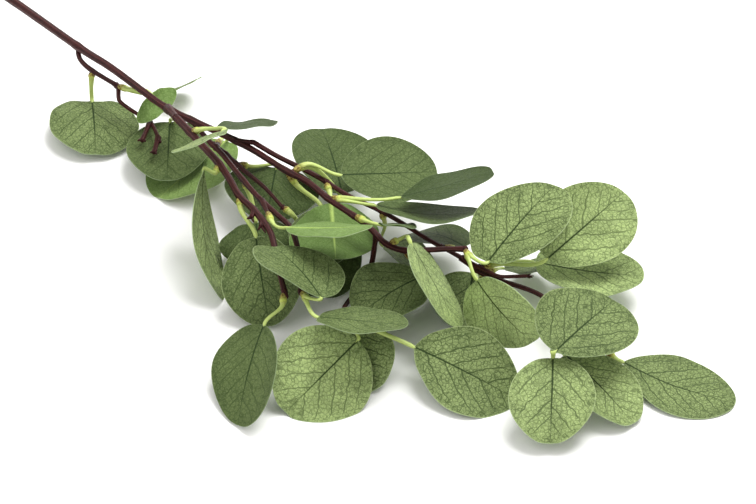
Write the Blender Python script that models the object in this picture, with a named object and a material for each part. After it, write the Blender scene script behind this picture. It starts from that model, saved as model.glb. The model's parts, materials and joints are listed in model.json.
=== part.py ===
"""A eucalyptus branch, cut and laid on a table.

A woody main stem carries thinner side stems towards its tip, and they carry round leaves on short stalks.
The main stem runs along X, with its cut end at -X and its tips at +X. The table is the plane Z = 0.
"""

import math
from collections import namedtuple

import bmesh
import bpy
from mathutils import Vector

MM = 0.001

# Driving dimensions
MAIN_RADIUS = 2.8 * MM
FORK_RADIUS = 2.2 * MM
SIDE_RADIUS = 1.5 * MM
TIP_RADIUS = 1.0 * MM
NUB_RADIUS = 1.4 * MM
COLLAR_RADIUS = 2.1 * MM
COLLAR_LENGTH = 5 * MM
STALK_RADIUS = 0.95 * MM
PAIR_OFFSET = 1.15 * MM
BLADE_THICKNESS = 0.8 * MM
SEAT_GAP = 0.3 * MM

# A collar takes at most this share of its nub's length, and widens over this share of its own
COLLAR_SHARE = 0.6
COLLAR_FLARE = 0.3

# The usual leaf, in mm
LEAF_WIDTH = 50
LEAF_BEND = 3
LEAF_CUP = 4
LEAF_NECK = 0.5

# The viewpoint that the places below are read from: pixels of a picture, and a height above the table in mm
PICTURE_CENTRE = (378, 252)
FOCAL_PIXELS = 4000
VIEW_DISTANCE = 2.42
VIEW_ELEVATION = math.radians(40)
VIEW_TURN = math.radians(41)
VIEW_CENTRE = Vector((0.1163, 0.0417, 0.0))

# A blade's half width is a power of a sine along its length, and its edges rise as a power of the span
TIP_POWER = 0.5
CUP_POWER = 1.5

# Fineness of the solids
STEM_STEP = 15 * MM
MAIN_SIDES = 8
SIDE_SIDES = 6
NUB_SIDES = 8
STALK_STEPS = 3
BLADE_STATIONS = (0.06, 0.20, 0.38, 0.56, 0.74, 0.89, 0.985)
BLADE_SPANS = (-1.0, -0.5, 0.0, 0.5, 1.0)

STEM_COLOUR = (0.075, 0.028, 0.027)
DARK_LEAF = (0.075, 0.125, 0.055)
PALE_LEAF = (0.200, 0.300, 0.120)
LEAF_ROUGHNESS = 0.55
STEM_ROUGHNESS = 0.6

Stem = namedtuple("Stem", "name parent root start_radius end_radius points")
Joint = namedtuple("Joint", "stem root end leaves")
Leaf = namedtuple("Leaf", "name base tip width roll bend cup neck skew shade")


def leaf(name, base, tip, width=LEAF_WIDTH, roll=0, bend=LEAF_BEND, cup=LEAF_CUP, neck=LEAF_NECK, skew=0,
         shade=0.5):
    """A leaf: base and tip are (x, y, height); width, bend and cup are in mm, roll in degrees.

    The base is blunt with a small neck and pointed with a large one. The right side of a skewed blade, seen
    with the tip up, lies further up than the left side by that share of the width.
    """
    return Leaf(name, base, tip, width * MM, math.radians(roll), bend * MM, cup * MM, neck, skew, shade)


STEMS = (
    Stem("main_stem", None, None, MAIN_RADIUS, SIDE_RADIUS, (
        (-118, -84, 2.4), (-98, -71, 2.5), (-48, -38.5, 11), (10, -1, 21), (48, 25.5, 27), (83, 50, 31),
        (110, 67, 34), (140, 89, 36), (158, 102.5, 37), (174, 112, 38), (200, 124, 39), (222, 134, 40),
        (253, 150, 42), (285, 170, 45), (309, 183, 47), (330, 200, 48), (357, 218, 47), (371, 229, 45),
        (385, 243, 42), (402, 250, 40), (425, 250, 40), (446, 249, 40), (466, 249, 41))),
    Stem("side_stem_a", "main_stem", (77, 46), SIDE_RADIUS, TIP_RADIUS, (
        (78.5, 54, 26.5), (80, 59, 26), (84, 64, 25.5), (92, 70.5, 25), (106, 79, 25), (117, 86, 25),
        (118.5, 92, 24), (119, 100, 22), (126, 106.5, 20), (139, 115, 18), (150, 122, 18), (155, 130, 19),
        (160, 142, 20))),
    Stem("side_stem_b", "main_stem", (168, 109), FORK_RADIUS, SIDE_RADIUS, (
        (177, 118.5, 45), (190, 132, 47), (203, 146, 48), (219, 163.6, 49), (230, 180, 49), (239, 195.5, 49),
        (254, 210, 48), (268, 228, 46), (273, 240, 44), (277, 258, 41), (281, 278, 38), (286, 297, 36))),
    Stem("side_stem_c", "main_stem", (236, 141.5), SIDE_RADIUS, TIP_RADIUS, (
        (254, 142.5, 45), (277, 156, 42), (303, 169, 38), (325, 181, 37), (348, 195.5, 37), (381, 211, 37),
        (402, 223, 36), (427, 238.7, 34), (451, 252, 33), (475, 265, 33), (491, 273, 34), (500, 276.5, 34),
        (514, 276.5, 34), (526, 276, 34))),
    Stem("side_stem_d", "main_stem", (191, 120), SIDE_RADIUS, SIDE_RADIUS, (
        (200, 130.5, 32), (209, 141, 33), (222, 154, 36), (239, 175, 38), (258, 197, 39), (277, 214.5, 39),
        (290, 227, 39), (297, 245, 39), (300, 268, 38), (301, 283, 38), (301, 293, 38))),
    Stem("side_stem_e", "side_stem_d", (212, 144), SIDE_RADIUS, TIP_RADIUS, (
        (227, 154.5, 29), (233, 161, 29), (246, 172, 29), (265, 188, 29), (284, 209, 29))),
    Stem("side_stem_f", "side_stem_c", (461, 257), SIDE_RADIUS, TIP_RADIUS, (
        (476, 270, 28), (490, 276, 27), (505, 282, 25), (524, 288, 23), (541, 295.5, 21), (556, 308, 19),
        (574, 325, 15), (594, 342, 11), (608, 354, 9))),
    Stem("side_stem_g", "main_stem", (376, 234), SIDE_RADIUS, TIP_RADIUS, (
        (374, 250, 33), (372, 262, 22), (367, 276, 11), (358, 290, 5), (347, 303, 6), (343, 311, 15),
        (346, 317, 24), (353, 320, 28), (362, 321, 28.5))),
)

JOINTS = (
    Joint("side_stem_a", (91.5, 70), (91.5, 78, 21), (
        leaf("leaf_a1", (92, 102, 6), (96, 157, 5), 56, roll=-13, cup=0.5, neck=0.25, shade=0.4),)),
    Joint("side_stem_a", (116, 85.5), (127, 89, 28), (
        leaf("leaf_a2", (151, 94, 32), (166, 112, 24), 34, roll=154, cup=2, skew=-0.06, shade=0.9),
        leaf("leaf_a3", (168, 93, 15), (197, 79, 11), 30, roll=-84, bend=0, cup=0, shade=0.4))),
    Joint("side_stem_a", (150, 122), (142, 141, 20), ()),
    Joint("side_stem_a", (158, 138), (154, 153, 20), ()),
    Joint("main_stem", (172, 111), (176, 119, 29), (
        leaf("leaf_m1", (170, 122, 11), (167, 183, 11), 52, bend=2, cup=2, shade=0.15),)),
    Joint("side_stem_b", (190, 132), (199, 130, 51), (
        leaf("leaf_b1", (222, 131, 66), (177, 152, 72), 36, roll=81, bend=0, cup=0, shade=0.9),
        leaf("leaf_b2", (221, 128, 55), (275, 120, 45), 34, roll=-77, bend=0, cup=0, shade=0.2))),
    Joint("side_stem_b", (219, 163.6), (216, 172, 47), (
        leaf("leaf_b3", (204, 169, 48.5), (223, 302, 1), 48, roll=-75, bend=-6, cup=1, neck=1.1,
             shade=0.6),)),
    Joint("side_stem_b", (239, 195.5), (240, 205, 46), (
        leaf("leaf_b5", (256, 237, 36), (270, 328, 2), 48, roll=6, cup=3, shade=0.2),)),
    Joint("side_stem_b", (284, 291), (283, 303, 35), (
        leaf("leaf_b7", (264, 325, 30), (238, 428, 1), roll=41, skew=-0.33, shade=0.4),)),
    Joint("side_stem_b", (254, 210), (251, 218, 47), ()),
    Joint("side_stem_b", (262, 219), (261, 227, 46), ()),
    Joint("main_stem", (290, 173), (303, 166.5, 47), (
        leaf("leaf_m2", (341, 175, 40), (439, 172, 36), 54, roll=-42, bend=0, shade=0.3),
        leaf("leaf_m3", (342, 194, 21), (321, 128, 24), 54, roll=26, skew=0.12, shade=0.25))),
    Joint("main_stem", (285, 170), (295, 183, 38), (
        leaf("leaf_m4", (322, 209, 26), (326, 268, 20), 42, cup=1, shade=0.2),)),
    Joint("main_stem", (328, 198), (341, 199, 50), (
        leaf("leaf_m5", (376, 205, 50), (482, 211, 50), 44, roll=-75, cup=1, bend=-4, shade=0.2),
        leaf("leaf_m6", (400, 197, 54), (496, 170, 64), 46, roll=-70, bend=-1, cup=0.5, neck=0.9,
             shade=0.4))),
    Joint("main_stem", (354, 216), (364, 220, 51), (
        leaf("leaf_m7", (382, 225, 54), (414, 229, 58), 30, roll=-86, cup=1, bend=1, shade=0.1),)),
    Joint("main_stem", (388, 245), (398, 240, 44), (
        leaf("leaf_m8", (411, 243, 55), (461.5, 329, 18), roll=-71, bend=-0.5, cup=0, shade=0.6),)),
    Joint("main_stem", (404, 250), (412, 258, 34), (
        leaf("leaf_m9", (424, 276, 20), (356, 318, 12), roll=42, shade=0.15),)),
    Joint("main_stem", (464, 249), (469, 256, 43), (
        leaf("leaf_m10", (477, 280, 38), (535, 344, 22), roll=44, skew=-0.38, shade=0.7),
        leaf("leaf_m11", (488, 262, 40), (556, 184, 69), roll=-23, cup=3, skew=0.34, shade=0.75))),
    Joint("side_stem_c", (326, 181.5), (329, 190, 36), (
        leaf("leaf_c1", (331, 203, 34), (336, 261, 34), 54, roll=180, cup=2, shade=0.9),)),
    Joint("side_stem_c", (381, 211), (384, 219, 33), (
        leaf("leaf_c5", (384, 246, 10), (436, 276, 5), 36, roll=-62, cup=2, skew=0.33, shade=0.3),)),
    Joint("side_stem_c", (440, 246), (455, 249, 32), (
        leaf("leaf_c4", (464, 247, 26), (414, 233, 16), 42, roll=68, cup=1, shade=0.1),)),
    Joint("side_stem_c", (480, 267), (493, 264.5, 33), (
        leaf("leaf_c2", (535, 262, 24), (646, 276, 18), 50, roll=-52, cup=2, bend=-2, shade=0.2),
        leaf("leaf_c3", (547, 259, 34), (625, 191, 55), 52, skew=0.2, shade=0.75))),
    Joint("side_stem_d", (243, 180), (247, 188, 35), (
        leaf("leaf_d1", (256, 223, 18), (262, 266, 4), 48, cup=1, shade=0.1),)),
    Joint("side_stem_d", (262, 201), (271, 220, 44), (
        leaf("leaf_d2", (286, 228, 51), (374, 226, 67), 41, roll=102, bend=1, cup=1, skew=-0.36,
             shade=1),)),
    Joint("side_stem_d", (216, 148), (219, 141, 26), (
        leaf("leaf_d5", (226, 141, 8), (158, 200, 1), 60, roll=50, bend=1, cup=1, shade=0.8),)),
    Joint("side_stem_d", (301, 291), (306, 298, 40), (
        leaf("leaf_d3", (321, 298, 44), (271, 246, 50), 52, roll=53, skew=-0.28, shade=0.4),
        leaf("leaf_d4", (318, 317, 36), (409, 326, 40), 46, roll=-72, cup=1, bend=0, shade=0.3))),
    Joint("side_stem_e", (236, 163.5), (248, 166, 27), (
        leaf("leaf_e1", (276, 168, 18), (266, 222, 14), 58, cup=2, shade=0.05),)),
    Joint("side_stem_e", (282, 207), (288, 211, 28), (
        leaf("leaf_e2", (304, 232, 12), (346, 294, 2), 50, cup=2, shade=0.05),)),
    Joint("side_stem_f", (484, 273), (494, 270, 24), (
        leaf("leaf_f1", (504, 268, 16), (552, 265, 12), 28, roll=-73, bend=0, cup=0, skew=-0.29,
             shade=0.3),)),
    Joint("side_stem_f", (488, 275), (481, 279, 21), (
        leaf("leaf_f6", (473, 273, 11), (462, 332, 3), 46, cup=1, shade=0.4),)),
    Joint("side_stem_f", (556, 308), (556, 338, 28), (
        leaf("leaf_f2", (555, 352, 34), (615, 300, 38), 56, roll=-18, skew=0.26, shade=0.4),
        leaf("leaf_f3", (553, 358, 26), (550, 447, 6), roll=1, skew=0.06, shade=0.6))),
    Joint("side_stem_f", (574, 325), (570, 340, 16), (
        leaf("leaf_f4", (565, 355, 15), (635, 427, 2), 42, roll=-38, shade=0.7),)),
    Joint("side_stem_f", (606, 352), (614, 357.5, 8), (
        leaf("leaf_f5", (623, 362, 7), (737, 404, 1), roll=-48, bend=-4, cup=1, neck=0.8, skew=0.14,
             shade=0.4),)),
    Joint("side_stem_g", (347, 318), (351, 328, 25), (
        leaf("leaf_g1", (358, 340, 22), (283, 415, 1), 60, shade=0.6),
        leaf("leaf_g2", (339, 334, 11), (375, 394, 1), cup=2, shade=0.5))),
    Joint("side_stem_g", (360, 319), (373, 328, 26), (
        leaf("leaf_g3", (414, 347, 20), (519, 401, 1), 52, roll=-18, neck=0.7, skew=0.11, shade=0.5),)),
)


def view_axes():
    """The picture's right, up and forward directions."""
    right = Vector((math.cos(VIEW_TURN), math.sin(VIEW_TURN), 0))
    away = Vector((-math.sin(VIEW_TURN), math.cos(VIEW_TURN), 0))
    rise, run = math.sin(VIEW_ELEVATION), math.cos(VIEW_ELEVATION)
    return right, away * rise + Vector((0, 0, run)), away * run - Vector((0, 0, rise))


def place(x, y, height):
    """The point seen at pixel x, y that is height mm above the table."""
    right, up, forward = view_axes()
    eye = VIEW_CENTRE - forward * VIEW_DISTANCE
    ray = forward * FOCAL_PIXELS + right * (x - PICTURE_CENTRE[0]) - up * (y - PICTURE_CENTRE[1])
    return eye + ray * ((height * MM - eye.z) / ray.z)


def pixel(point):
    """Where a point is seen in the picture."""
    right, up, forward = view_axes()
    offset = point - (VIEW_CENTRE - forward * VIEW_DISTANCE)
    scale = FOCAL_PIXELS / offset.dot(forward)
    return Vector((PICTURE_CENTRE[0] + offset.dot(right) * scale, PICTURE_CENTRE[1] - offset.dot(up) * scale))


def smooth_path(points, step):
    """Points about a step apart on the smooth curve through the given points."""
    ends = [points[0] * 2 - points[1], *points, points[-1] * 2 - points[-2]]
    path = [points[0]]
    for before, start, end, after in zip(ends, ends[1:], ends[2:], ends[3:]):
        steps = max(1, round((end - start).length / step))
        for i in range(1, steps + 1):
            t = i / steps
            path.append(0.5 * (2 * start + (end - before) * t
                               + (2 * before - 5 * start + 4 * end - after) * t ** 2
                               + (3 * start - before - 3 * end + after) * t ** 3))
    return path


def hermite(start, start_slope, end, end_slope, t):
    """A point of the curve that leaves start and reaches end with the given slopes."""
    return (start * (2 * t ** 3 - 3 * t ** 2 + 1) + start_slope * (t ** 3 - 2 * t ** 2 + t)
            + end * (3 * t ** 2 - 2 * t ** 3) + end_slope * (t ** 3 - t ** 2))


def directions(path):
    """The unit direction of a path at each of its points."""
    ends = [path[0], *path, path[-1]]
    return [(after - before).normalized() for before, after in zip(ends, ends[2:])]


def object_from_rings(name, rings):
    """A closed body over rings of equally many points, split alike on its two faces."""
    mesh = bmesh.new()
    made = [[mesh.verts.new(point) for point in ring] for ring in rings]
    count = len(rings[0])
    for low, high in zip(made, made[1:]):
        for j in range(count):
            k = (j + 1) % count
            a, b, c, d = low[j], low[k], high[k], high[j]
            halves = ((a, b, c), (a, c, d)) if j < count // 2 else ((a, b, d), (b, c, d))
            for corners in halves:
                mesh.faces.new(corners)
    for j in range(count // 2 - 1):
        strip = (j, j + 1, count - 2 - j, count - 1 - j)
        for corners in (strip[:3], (strip[0], *strip[2:])):
            mesh.faces.new([made[-1][i] for i in corners])
            mesh.faces.new([made[0][i] for i in reversed(corners)])
    data = bpy.data.meshes.new(name)
    mesh.to_mesh(data)
    mesh.free()
    obj = bpy.data.objects.new(name, data)
    bpy.context.scene.collection.objects.link(obj)
    return obj


def ring(centre, along, side, radius, count):
    """Points round a rod, from one side over the top to the other side and back below."""
    side = (side - along * side.dot(along)).normalized()
    top = side.cross(along)
    angles = [math.pi - 2 * math.pi * (j + 0.5) / count for j in range(count)]
    return [centre + (side * math.cos(a) + top * math.sin(a)) * radius for a in angles]


def rod(name, path, radii, count):
    """A round rod along a path, kept above the table, with flat ends."""
    side = directions(path)[0].cross(Vector((0, 0, 1)))
    rings = []
    for point, along, radius in zip(path, directions(path), radii):
        side = (side - along * side.dot(along)).normalized()
        rings.append([Vector((p.x, p.y, max(p.z, 0))) for p in ring(point, along, side, radius, count)])
    return object_from_rings(name, rings)


def stem_path(stem):
    """The centre line of a stem."""
    return smooth_path([place(*point) for point in stem.points], STEM_STEP)


def point_on(stem, root):
    """The point of a stem's centre line that is seen nearest to a pixel."""
    fine = smooth_path([place(*point) for point in stem.points], MM)
    return min(fine, key=lambda point: (pixel(point) - Vector(root)).length)


def nub(name, root, end, along, radius, collar_radius):
    """A short twig from inside a stem to a flat end that faces along, with a collar at the end."""
    neck = end - along * min(COLLAR_LENGTH, COLLAR_SHARE * (end - root).length)
    path = [root, neck, neck.lerp(end, COLLAR_FLARE), end]
    radii = [radius, radius, collar_radius, collar_radius]
    return rod(name, path, radii, NUB_SIDES)


def join_bodies(obj, others):
    """Joins other bodies to an object as one solid, with one Boolean union that is applied."""
    if not others:
        return
    bodies = bmesh.new()
    for other in others:
        bodies.from_mesh(other.data)
        bpy.data.objects.remove(other)
    data = bpy.data.meshes.new(obj.name + "_nubs")
    bodies.to_mesh(data)
    bodies.free()
    cutter = bpy.data.objects.new(obj.name + "_nubs", data)
    bpy.context.scene.collection.objects.link(cutter)
    union = obj.modifiers.new("nubs", "BOOLEAN")
    union.operation = "UNION"
    union.object = cutter
    union.use_self = True
    bpy.context.view_layer.update()
    evaluated = obj.evaluated_get(bpy.context.evaluated_depsgraph_get())
    joined = bpy.data.meshes.new_from_object(evaluated)
    obj.modifiers.clear()
    obj.data = joined
    bpy.data.objects.remove(cutter)


def paint(obj, colour, roughness):
    """Gives an object a material of its own."""
    material = bpy.data.materials.new(obj.name)
    material.use_nodes = True
    shader = material.node_tree.nodes["Principled BSDF"]
    shader.inputs["Base Color"].default_value = (*colour, 1)
    shader.inputs["Roughness"].default_value = roughness
    shader.inputs["Metallic"].default_value = 0.0
    obj.data.materials.clear()
    obj.data.materials.append(material)


def leaf_roots(joint, stems):
    """Where each leaf's stalk starts at a joint, and the direction in which it leaves."""
    start = point_on(stems[joint.stem], joint.root)
    end = place(*joint.end)
    along = (end - start).normalized()
    seat = end + along * SEAT_GAP
    if len(joint.leaves) == 1:
        return [seat], along
    apart = place(*joint.leaves[0].base) - place(*joint.leaves[1].base)
    side = (apart - along * apart.dot(along)).normalized()
    return [seat + side * PAIR_OFFSET, seat - side * PAIR_OFFSET], along


def blade_axes(item):
    """A blade's length direction, its width direction and its upper side's direction."""
    forward = view_axes()[2]
    along = (place(*item.tip) - place(*item.base)).normalized()
    side = (-along.cross(forward)).normalized()
    top = side.cross(along)
    width = side * math.cos(item.roll) - top * math.sin(item.roll)
    return along, width, width.cross(along)


def blade_ring(item, t):
    """The ring of points round a blade at a fraction of its length."""
    along, width, top = blade_axes(item)
    outline = math.sin(math.pi * t) ** (item.neck if t < 0.5 else TIP_POWER)
    spine = place(*item.base).lerp(place(*item.tip), t) + top * item.bend * 4 * t * (1 - t)
    upper, lower = [], []
    for s in BLADE_SPANS:
        rise = item.cup * outline * abs(s) ** CUP_POWER
        middle = spine + (width + along * item.skew) * (s * outline * item.width / 2) + top * rise
        middle.z = max(middle.z, BLADE_THICKNESS / 2 * abs(top.z))
        upper.append(middle + top * BLADE_THICKNESS / 2)
        lower.append(middle - top * BLADE_THICKNESS / 2)
    return upper + lower[::-1]


def make_leaf(item, root, root_direction):
    """A stalk that widens into a thin curved blade, as one body."""
    along, width = blade_axes(item)[:2]
    base = place(*item.base)
    reach = (base - root).length
    slopes = root_direction * reach, along * reach
    path = [hermite(root, slopes[0], base, slopes[1], i / STALK_STEPS) for i in range(STALK_STEPS + 1)]
    aims = [root_direction, *directions(path)[1:-1], along]
    rings = []
    side = width
    for point, aim in reversed(list(zip(path, aims))):
        side = (side - aim * side.dot(aim)).normalized()
        rings.insert(0, ring(point, aim, side, STALK_RADIUS, 2 * len(BLADE_SPANS)))
    rings += [blade_ring(item, t) for t in BLADE_STATIONS]
    obj = object_from_rings(item.name, rings)
    colour = [d + (p - d) * item.shade for d, p in zip(DARK_LEAF, PALE_LEAF)]
    paint(obj, colour, LEAF_ROUGHNESS)


def make_stem(stem, stems):
    """A stem with the nubs that carry its leaves and its side stems, as one body."""
    path = stem_path(stem)
    share = [i / (len(path) - 1) for i in range(len(path))]
    radii = [stem.start_radius + (stem.end_radius - stem.start_radius) * t for t in share]
    obj = rod(stem.name, path, radii, SIDE_SIDES if stem.parent else MAIN_SIDES)
    nubs = []
    for joint in JOINTS:
        if joint.stem == stem.name:
            root, end = point_on(stem, joint.root), place(*joint.end)
            along = (end - root).normalized()
            nubs.append(nub(stem.name + "_nub", root, end, along, NUB_RADIUS, COLLAR_RADIUS))
    for child in stems.values():
        if child.parent == stem.name:
            child_path = stem_path(child)
            along = directions(child_path)[0]
            root, end = point_on(stem, child.root), child_path[0] - along * SEAT_GAP
            nubs.append(nub(child.name + "_nub", root, end, along, child.start_radius, child.start_radius))
    join_bodies(obj, nubs)
    paint(obj, STEM_COLOUR, STEM_ROUGHNESS)


def main():
    for obj in list(bpy.data.objects):
        bpy.data.objects.remove(obj)
    stems = {stem.name: stem for stem in STEMS}
    for stem in STEMS:
        make_stem(stem, stems)
    for joint in JOINTS:
        roots, direction = leaf_roots(joint, stems) if joint.leaves else ((), None)
        for item, root in zip(joint.leaves, roots):
            make_leaf(item, root, direction)


if __name__ == "__main__":
    main()
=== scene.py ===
"""The looks of a eucalyptus branch that lies on a table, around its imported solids.

Every stem and every leaf of the solids is replaced by a finer piece in the same place. Places are given as
for the solids: a pixel of the picture and a height above the table in mm.
"""
import json
import math
import random
from collections import namedtuple

import bmesh
import bpy
import numpy as np
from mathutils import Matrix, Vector

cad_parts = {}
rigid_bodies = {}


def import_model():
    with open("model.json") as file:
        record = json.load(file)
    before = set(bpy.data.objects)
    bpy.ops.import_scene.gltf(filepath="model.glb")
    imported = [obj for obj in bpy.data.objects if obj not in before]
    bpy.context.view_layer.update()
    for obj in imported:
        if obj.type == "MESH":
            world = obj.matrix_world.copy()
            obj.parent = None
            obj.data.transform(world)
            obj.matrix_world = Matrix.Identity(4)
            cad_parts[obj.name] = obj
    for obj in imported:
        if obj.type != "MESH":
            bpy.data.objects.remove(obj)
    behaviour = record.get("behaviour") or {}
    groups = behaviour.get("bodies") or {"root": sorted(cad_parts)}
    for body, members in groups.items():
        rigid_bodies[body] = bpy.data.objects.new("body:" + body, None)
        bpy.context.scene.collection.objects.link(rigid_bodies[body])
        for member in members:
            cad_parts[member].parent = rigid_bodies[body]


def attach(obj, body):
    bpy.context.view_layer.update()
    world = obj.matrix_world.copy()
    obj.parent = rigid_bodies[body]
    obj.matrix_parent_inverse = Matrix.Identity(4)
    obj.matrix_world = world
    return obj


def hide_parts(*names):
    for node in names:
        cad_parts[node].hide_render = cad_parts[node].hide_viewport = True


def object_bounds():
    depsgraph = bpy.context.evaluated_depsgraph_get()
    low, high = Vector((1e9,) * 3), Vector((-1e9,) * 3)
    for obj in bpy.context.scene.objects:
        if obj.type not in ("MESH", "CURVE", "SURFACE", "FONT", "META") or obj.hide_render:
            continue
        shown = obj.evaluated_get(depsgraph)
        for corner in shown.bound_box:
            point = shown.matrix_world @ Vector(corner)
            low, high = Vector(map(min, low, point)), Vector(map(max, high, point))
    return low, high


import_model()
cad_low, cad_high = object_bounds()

MM = 0.001

# Sizes shared with the solids
MAIN_RADIUS = 2.8 * MM
FORK_RADIUS = 2.2 * MM
SIDE_RADIUS = 1.5 * MM
TIP_RADIUS = 1.0 * MM
NUB_RADIUS = 1.4 * MM
COLLAR_RADIUS = 2.1 * MM
STALK_RADIUS = 0.95 * MM
PAIR_OFFSET = 1.15 * MM
SEAT_GAP = 0.3 * MM
LEAF_WIDTH = 50
LEAF_BEND = 3
LEAF_CUP = 4
LEAF_NECK = 0.5
TIP_POWER = 0.5
CUP_POWER = 1.5

# The viewpoint that the places are read from, which is the camera's too
PICTURE_SIZE = (756, 504)
FOCAL_PIXELS = 4000
VIEW_DISTANCE = 2.42
VIEW_ELEVATION = math.radians(40)
VIEW_TURN = math.radians(41)
VIEW_CENTRE = Vector((0.1163, 0.0417, 0.0))
SENSOR_WIDTH = 36.0
CLIP_END = 100.0

# Fineness of the pieces
STEM_STEP = 2.5 * MM
STEM_SIDES = 18
NUB_SIDES = 14
STALK_STEPS = 14
STALK_SIDES = 12
SPIKE_SIDES = 8
STATIONS = 44
HALF_SPANS = (0.012, 0.035, 0.07, 0.12, 0.19, 0.27, 0.36, 0.46, 0.56, 0.66, 0.76, 0.85, 0.93, 0.98, 1.0)

# A blade: its thickness at the midrib and at the edge, the ridge under its midrib, and how far it reaches
MIDDLE_THICKNESS = 0.6 * MM
EDGE_THICKNESS = 0.4 * MM
LEAST_THICKNESS = 0.1 * MM
RIDGE_HEIGHT = 0.75 * MM
RIDGE_WIDTH = 0.9 * MM
RIDGE_FADE = 0.85
RIDGE_END = (1.0, 0.9)
GROOVE_DEPTH = 0.15 * MM
BASE_REACH = 0.004
TIP_REACH = 0.988
LEAST_OUTLINE = 0.03

# A blade whose upper side points this much up or down can't get thinner than LEAST_THICKNESS at the table
LYING = 0.5

# What differs between blades: the notch at the tip, the lobes at the base, the waves and the fold, in mm.
# A span is where it grows along the blade, and the lobes' place and width are shares of half the width.
NOTCH_RANGE = (0.2, 1.6)
NOTCH_WIDTH = 5 * MM
NOTCH_SPAN = (0.8, 1.0)
LOBE_RANGE = (0.0, 2.0)
LOBE_PLACE = 0.45
LOBE_WIDTH = 0.22
LOBE_SPAN = (0.25, 0.0)
WAVE_RANGE = (0.4, 1.3)
BEAT_RANGE = (1.0, 1.9)
FOLD_RANGE = (0.4, 1.6)

# Side veins: their spacing along the midrib in mm and how much it varies, how they lean, curve and fan out,
# and how far one half's are shifted. They start from FIRST_VEIN spacings up to LAST_VEIN blade lengths.
VEIN_SPACING = 11.0
VEIN_CHANCE = (0.75, 1.25)
VEIN_LEAN = 0.85
VEIN_CURVE = 0.45
VEIN_FAN = 0.35
VEIN_SHIFT = 0.45
FIRST_VEIN = -4.6
LAST_VEIN = 1.3

# A stalk: it is wide and flat, widest at its root, and runs on under the blade as the start of the midrib
STALK_WIDENING = 1.42
STALK_FLATNESS = 0.72
STALK_ROOT = 0.45
STALK_ROOT_STEPS = 6
STALK_SINK = 2 * MM
UNDER_BLADE = (0.004, 0.2)
UNDER_BLADE_DEPTH = 0.45 * MM
MIDRIB_SIZE = 1.1
MIDRIB_FALL = 0.9

# Twigs and the bud. A ring is its place along the part, its share of the radius and, on a twig with leaves,
# how far the bark has turned into collar. A spike's ring is its place, and its shares of drift and radius.
COLLAR_LENGTH = 8.5 * MM
COLLAR_SHARE = 0.72
NUB_ROOT = 1.6
NUB_RINGS = ((0.35, 1.2, 0.0), (0.7, 1.0, 0.0), (0.95, 1.0, 0.1))
COLLAR_RINGS = ((0.04, 0.74, 0.3), (0.14, 0.88, 0.45), (0.34, 1.0, 0.55), (0.6, 1.06, 0.7), (0.8, 1.02, 0.85),
                (0.93, 0.92, 1.0), (1.0, 0.7, 1.0))
BARE_NUB_RINGS = ((0, 1.5), (0.3, 1.15), (0.6, 1.0), (0.85, 1.15), (1, 0.9))
BRANCH_ROOT_RINGS = ((0, 1.5), (0.25, 1.25), (0.5, 1.05), (0.75, 1.0), (0.9, 1.12), (1, 1.12))
NUB_RIBS = 5
PRONG_LENGTH = 4.5 * MM
PRONG_CHANCE = (0.8, 1.1)
PRONG_LEAN = 0.75
PRONG_RADIUS = 0.62 * NUB_RADIUS
BUD_SPIKES = 7
BUD_ROWS = 4
SPIKE_LENGTH = 3.2 * MM
SPIKE_CHANCE = (0.7, 1.1)
SPIKE_LEAN = 0.55
SPIKE_DRIFT = 0.12
SPIKE_RINGS = ((0, 0, 1.0), (0.4, 0.4, 0.95), (0.75, 1.0, 0.8), (1.0, 1.4, 0.35))
SPIKE_RADIUS = 0.5 * TIP_RADIUS
BUD_STEP = 1.1 * MM

# Bark: its swelling at the knots, the sunk start of a side stem, the ribs, and the rounded end
BARK_SWELL = 1.08
KNOT_SWELL = 0.16
KNOT_REACH = 3.5 * MM
BARK_CHANCE = 0.015
STEM_SINK = 1.2 * MM
SUNK_SIZE = 0.9
STEM_RIBS = 6
RIB_HEIGHT = 0.05
LOW_RIB_HEIGHT = 0.04
RIB_TWIST = 0.012
END_SIZES = (0.85, 0.5)
END_STEP = 0.4

# Fields that the materials read: a tube's grain, the ranges of the seeds, and the mark of what isn't a blade
GRAIN_SPREAD = 2
SEED_STEP = 7
TUBE_SEEDS = (0, 9)
SPOT_SEEDS = (0, 500)
NO_MARK = (0.5, 9.0, 9.0)

# Kinds of face, by the place of their material in a piece's list
UPPER, UNDER, RIM, STALK = range(4)
BARK = 0

# How pale each leaf looks, where that differs from its row's shade: 0 is dark, 1 is pale. Besides each leaf's
# own tone, these hold painted light and shade: leaves turned away from the lamps are made paler, and leaves
# in shade darker.
TONES_WITH_PAINTED_LIGHT = {"leaf_a1": 0.38, "leaf_a2": 0.6, "leaf_b2": -0.05, "leaf_b3": 0.78, "leaf_b5": 0.3, "leaf_b7": 0.16,
         "leaf_c1": 0.3, "leaf_c2": 1.1, "leaf_c3": 1.15, "leaf_d2": 0.75, "leaf_d3": 0.3, "leaf_d5": 1.35,
         "leaf_f2": 0.46, "leaf_f3": 0.86, "leaf_f4": 1.0, "leaf_f5": 0.48, "leaf_g1": 1.1, "leaf_g2": 0.8,
         "leaf_g3": 0.54, "leaf_m1": 0.16, "leaf_m2": 0.15, "leaf_m3": 0.05, "leaf_m5": 0.1, "leaf_m6": -0.06,
         "leaf_m8": 1.0, "leaf_m9": 0.34, "leaf_m10": 1.35, "leaf_m11": 0.72}

# Leaves whose upper face has the look of an underside: bright green with a lime midrib
TURNED = ("leaf_d5",)

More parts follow.
